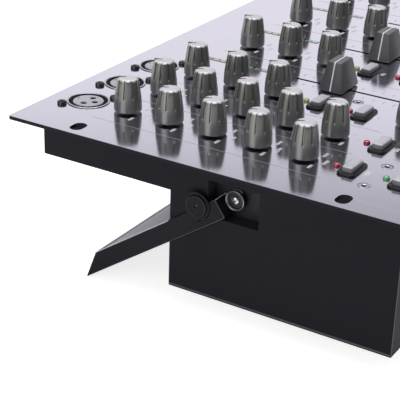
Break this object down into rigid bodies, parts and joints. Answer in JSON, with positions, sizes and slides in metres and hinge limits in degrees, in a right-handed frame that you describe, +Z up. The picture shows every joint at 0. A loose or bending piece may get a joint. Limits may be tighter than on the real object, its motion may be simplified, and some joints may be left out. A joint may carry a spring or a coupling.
{
  "type": "rack dj mixer",
  "caption": "Rack-mount DJ mixer with slotted top panel, rotary knobs, channel faders, crossfader, lit buttons, panel sockets and a fold-up rear support bracket.",
  "frame": {"origin": "under the centre of the top panel, at the level of the undersides of the feet", "axes": "+X to the right along the panel's width, +Y to the rear, +Z up"},
  "size_m": [0.4826, 0.2214, 0.1075],
  "materials": {
    "panel": "brushed dark satin",
    "chassis": "satin black",
    "bright_metal": "satin",
    "insert_grey": "matte",
    "black_plastic": "matte",
    "board": "matte",
    "lamp": "gloss",
    "window": "gloss",
    "rubber": "matte",
    "dark_screw": "satin",
    "bright_screw": "satin",
    "knob": "metallic grey satin",
    "button": "matte",
    "fader_cap": "matte",
    "rocker": "gloss"
  },
  "bodies": {
    "mixer": {"top_panel": "panel", "chassis_shell": "chassis", "base_plate": "chassis", "xlr_shells": "bright_metal", "xlr_inserts": "insert_grey", "signal_sockets": "bright_metal", "mains_inlet": "black_plastic", "circuit_boards": "board", "rotary_pots": "bright_metal", "fader_units": "bright_metal", "button_switches": "black_plastic", "button_bezels": "black_plastic", "indicator_lamps": "lamp", "meter_windows": "window", "rubber_feet": "rubber", "machine_screws": "dark_screw", "bracket_screws": "bright_screw"},
    "mic_knob_1_1": {"mic_knob_1_1": "knob"},
    "mic_knob_1_2": {"mic_knob_1_2": "knob"},
    "mic_knob_1_3": {"mic_knob_1_3": "knob"},
    "mic_knob_1_4": {"mic_knob_1_4": "knob"},
    "mic_knob_1_5": {"mic_knob_1_5": "knob"},
    "mic_knob_2_1": {"mic_knob_2_1": "knob"},
    "mic_knob_2_2": {"mic_knob_2_2": "knob"},
    "mic_knob_2_3": {"mic_knob_2_3": "knob"},
    "mic_knob_2_4": {"mic_knob_2_4": "knob"},
    "mic_knob_2_5": {"mic_knob_2_5": "knob"},
    "channel_1_knob_1": {"channel_1_knob_1": "knob"},
    "channel_1_knob_2": {"channel_1_knob_2": "knob"},
    "channel_1_knob_3": {"channel_1_knob_3": "knob"},
    "channel_2_knob_1": {"channel_2_knob_1": "knob"},
    "channel_2_knob_2": {"channel_2_knob_2": "knob"},
    "channel_2_knob_3": {"channel_2_knob_3": "knob"},
    "channel_3_knob_1": {"channel_3_knob_1": "knob"},
    "channel_3_knob_2": {"channel_3_knob_2": "knob"},
    "channel_3_knob_3": {"channel_3_knob_3": "knob"},
    "channel_4_knob_1": {"channel_4_knob_1": "knob"},
    "channel_4_knob_2": {"channel_4_knob_2": "knob"},
    "channel_4_knob_3": {"channel_4_knob_3": "knob"},
    "phones_knob": {"phones_knob": "knob"},
    "master_knob": {"master_knob": "knob"},
    "booth_knob": {"booth_knob": "knob"},
    "mic_button_1": {"mic_button_1": "button"},
    "mic_button_2": {"mic_button_2": "button"},
    "mic_button_3": {"mic_button_3": "button"},
    "channel_1_button_1": {"channel_1_button_1": "button"},
    "channel_1_button_2": {"channel_1_button_2": "button"},
    "channel_2_button_1": {"channel_2_button_1": "button"},
    "channel_2_button_2": {"channel_2_button_2": "button"},
    "channel_3_button_1": {"channel_3_button_1": "button"},
    "channel_3_button_2": {"channel_3_button_2": "button"},
    "channel_4_button_1": {"channel_4_button_1": "button"},
    "channel_4_button_2": {"channel_4_button_2": "button"},
    "channel_1_fader": {"channel_1_fader": "fader_cap"},
    "channel_2_fader": {"channel_2_fader": "fader_cap"},
    "channel_3_fader": {"channel_3_fader": "fader_cap"},
    "channel_4_fader": {"channel_4_fader": "fader_cap"},
    "crossfader": {"crossfader": "fader_cap"},
    "power_rocker": {"power_rocker": "rocker"},
    "support_bracket": {"support_bracket": "chassis"}
  },
  "joints": [
    {"name": "mic_knob_1_1_turn", "type": "hinge", "parent": "mixer", "child": "mic_knob_1_1", "pos_m": [-0.2013, 0.06475, 0.0888], "axis": [0, 0, 1], "range_deg": [-168, 132]},
    {"name": "mic_knob_1_2_turn", "type": "hinge", "parent": "mixer", "child": "mic_knob_1_2", "pos_m": [-0.2013, 0.03935, 0.0888], "axis": [0, 0, 1], "range_deg": [-168, 132]},
    {"name": "mic_knob_1_3_turn", "type": "hinge", "parent": "mixer", "child": "mic_knob_1_3", "pos_m": [-0.2013, 0.01395, 0.0888], "axis": [0, 0, 1], "range_deg": [-168, 132]},
    {"name": "mic_knob_1_4_turn", "type": "hinge", "parent": "mixer", "child": "mic_knob_1_4", "pos_m": [-0.2013, -0.01145, 0.0888], "axis": [0, 0, 1], "range_deg": [-168, 132]},
    {"name": "mic_knob_1_5_turn", "type": "hinge", "parent": "mixer", "child": "mic_knob_1_5", "pos_m": [-0.2013, -0.03685, 0.0888], "axis": [0, 0, 1], "range_deg": [-168, 132]},
    {"name": "mic_knob_2_1_turn", "type": "hinge", "parent": "mixer", "child": "mic_knob_2_1", "pos_m": [-0.1678, 0.06475, 0.0888], "axis": [0, 0, 1], "range_deg": [-168, 132]},
    {"name": "mic_knob_2_2_turn", "type": "hinge", "parent": "mixer", "child": "mic_knob_2_2", "pos_m": [-0.1678, 0.03935, 0.0888], "axis": [0, 0, 1], "range_deg": [-168, 132]},
    {"name": "mic_knob_2_3_turn", "type": "hinge", "parent": "mixer", "child": "mic_knob_2_3", "pos_m": [-0.1678, 0.01395, 0.0888], "axis": [0, 0, 1], "range_deg": [-168, 132]},
    {"name": "mic_knob_2_4_turn", "type": "hinge", "parent": "mixer", "child": "mic_knob_2_4", "pos_m": [-0.1678, -0.01145, 0.0888], "axis": [0, 0, 1], "range_deg": [-168, 132]},
    {"name": "mic_knob_2_5_turn", "type": "hinge", "parent": "mixer", "child": "mic_knob_2_5", "pos_m": [-0.1678, -0.03685, 0.0888], "axis": [0, 0, 1], "range_deg": [-168, 132]},
    {"name": "channel_1_knob_1_turn", "type": "hinge", "parent": "mixer", "child": "channel_1_knob_1", "pos_m": [-0.1341, 0.06475, 0.0888], "axis": [0, 0, 1], "range_deg": [-168, 132]},
    {"name": "channel_1_knob_2_turn", "type": "hinge", "parent": "mixer", "child": "channel_1_knob_2", "pos_m": [-0.1341, 0.03935, 0.0888], "axis": [0, 0, 1], "range_deg": [-168, 132]},
    {"name": "channel_1_knob_3_turn", "type": "hinge", "parent": "mixer", "child": "channel_1_knob_3", "pos_m": [-0.1341, 0.01395, 0.0888], "axis": [0, 0, 1], "range_deg": [-168, 132]},
    {"name": "channel_2_knob_1_turn", "type": "hinge", "parent": "mixer", "child": "channel_2_knob_1", "pos_m": [-0.0719, 0.06475, 0.0888], "axis": [0, 0, 1], "range_deg": [-168, 132]},
    {"name": "channel_2_knob_2_turn", "type": "hinge", "parent": "mixer", "child": "channel_2_knob_2", "pos_m": [-0.0719, 0.03935, 0.0888], "axis": [0, 0, 1], "range_deg": [-168, 132]},
    {"name": "channel_2_knob_3_turn", "type": "hinge", "parent": "mixer", "child": "channel_2_knob_3", "pos_m": [-0.0719, 0.01395, 0.0888], "axis": [0, 0, 1], "range_deg": [-168, 132]},
    {"name": "channel_3_knob_1_turn", "type": "hinge", "parent": "mixer", "child": "channel_3_knob_1", "pos_m": [-0.0097, 0.06475, 0.0888], "axis": [0, 0, 1], "range_deg": [-168, 132]},
    {"name": "channel_3_knob_2_turn", "type": "hinge", "parent": "mixer", "child": "channel_3_knob_2", "pos_m": [-0.0097, 0.03935, 0.0888], "axis": [0, 0, 1], "range_deg": [-168, 132]},
    {"name": "channel_3_knob_3_turn", "type": "hinge", "parent": "mixer", "child": "channel_3_knob_3", "pos_m": [-0.0097, 0.01395, 0.0888], "axis": [0, 0, 1], "range_deg": [-168, 132]},
    {"name": "channel_4_knob_1_turn", "type": "hinge", "parent": "mixer", "child": "channel_4_knob_1", "pos_m": [0.0525, 0.06475, 0.0888], "axis": [0, 0, 1], "range_deg": [-168, 132]},
    {"name": "channel_4_knob_2_turn", "type": "hinge", "parent": "mixer", "child": "channel_4_knob_2", "pos_m": [0.0525, 0.03935, 0.0888], "axis": [0, 0, 1], "range_deg": [-168, 132]},
    {"name": "channel_4_knob_3_turn", "type": "hinge", "parent": "mixer", "child": "channel_4_knob_3", "pos_m": [0.0525, 0.01395, 0.0888], "axis": [0, 0, 1], "range_deg": [-168, 132]},
    {"name": "phones_knob_turn", "type": "hinge", "parent": "mixer", "child": "phones_knob", "pos_m": [-0.1341, -0.06225, 0.0888], "axis": [0, 0, 1], "range_deg": [-168, 132]},
    {"name": "master_knob_turn", "type": "hinge", "parent": "mixer", "child": "master_knob", "pos_m": [0.1678, -0.03685, 0.0888], "axis": [0, 0, 1], "range_deg": [-168, 132]},
    {"name": "booth_knob_turn", "type": "hinge", "parent": "mixer", "child": "booth_knob", "pos_m": [0.2013, -0.03685, 0.0888], "axis": [0, 0, 1], "range_deg": [-168, 132]},
    {"name": "mic_button_1_press", "type": "slide", "parent": "mixer", "child": "mic_button_1", "axis": [0, 0, -1], "range_m": [0, 0.0015], "stiffness_N_per_m": 800, "springref_m": -0.001},
    {"name": "mic_button_2_press", "type": "slide", "parent": "mixer", "child": "mic_button_2", "axis": [0, 0, -1], "range_m": [0, 0.0015], "stiffness_N_per_m": 800, "springref_m": -0.001},
    {"name": "mic_button_3_press", "type": "slide", "parent": "mixer", "child": "mic_button_3", "axis": [0, 0, -1], "range_m": [0, 0.0015], "stiffness_N_per_m": 800, "springref_m": -0.001},
    {"name": "channel_1_button_1_press", "type": "slide", "parent": "mixer", "child": "channel_1_button_1", "axis": [0, 0, -1], "range_m": [0, 0.0015], "stiffness_N_per_m": 800, "springref_m": -0.001},
    {"name": "channel_1_button_2_press", "type": "slide", "parent": "mixer", "child": "channel_1_button_2", "axis": [0, 0, -1], "range_m": [0, 0.0015], "stiffness_N_per_m": 800, "springref_m": -0.001},
    {"name": "channel_2_button_1_press", "type": "slide", "parent": "mixer", "child": "channel_2_button_1", "axis": [0, 0, -1], "range_m": [0, 0.0015], "stiffness_N_per_m": 800, "springref_m": -0.001},
    {"name": "channel_2_button_2_press", "type": "slide", "parent": "mixer", "child": "channel_2_button_2", "axis": [0, 0, -1], "range_m": [0, 0.0015], "stiffness_N_per_m": 800, "springref_m": -0.001},
    {"name": "channel_3_button_1_press", "type": "slide", "parent": "mixer", "child": "channel_3_button_1", "axis": [0, 0, -1], "range_m": [0, 0.0015], "stiffness_N_per_m": 800, "springref_m": -0.001},
    {"name": "channel_3_button_2_press", "type": "slide", "parent": "mixer", "child": "channel_3_button_2", "axis": [0, 0, -1], "range_m": [0, 0.0015], "stiffness_N_per_m": 800, "springref_m": -0.001},
    {"name": "channel_4_button_1_press", "type": "slide", "parent": "mixer", "child": "channel_4_button_1", "axis": [0, 0, -1], "range_m": [0, 0.0015], "stiffness_N_per_m": 800, "springref_m": -0.001},
    {"name": "channel_4_button_2_press", "type": "slide", "parent": "mixer", "child": "channel_4_button_2", "axis": [0, 0, -1], "range_m": [0, 0.0015], "stiffness_N_per_m": 800, "springref_m": -0.001},
    {"name": "channel_1_fader_slide", "type": "slide", "parent": "mixer", "child": "channel_1_fader", "axis": [0, 1, 0], "range_m": [-0.036, 0.024]},
    {"name": "channel_2_fader_slide", "type": "slide", "parent": "mixer", "child": "channel_2_fader", "axis": [0, 1, 0], "range_m": [-0.036, 0.024]},
    {"name": "channel_3_fader_slide", "type": "slide", "parent": "mixer", "child": "channel_3_fader", "axis": [0, 1, 0], "range_m": [-0.036, 0.024]},
    {"name": "channel_4_fader_slide", "type": "slide", "parent": "mixer", "child": "channel_4_fader", "axis": [0, 1, 0], "range_m": [-0.036, 0.024]},
    {"name": "crossfader_slide", "type": "slide", "parent": "mixer", "child": "crossfader", "axis": [1, 0, 0], "range_m": [-0.0225, 0.0225]},
    {"name": "power_rocker_tilt", "type": "hinge", "parent": "mixer", "child": "power_rocker", "pos_m": [0.1746, 0.10145, 0.07535], "axis": [1, 0, 0], "range_deg": [-16, 0]},
    {"name": "support_bracket_fold", "type": "hinge", "parent": "mixer", "child": "support_bracket", "pos_m": [0, -0.01025, 0.0654], "axis": [1, 0, 0], "range_deg": [0, 15]}
  ]
}
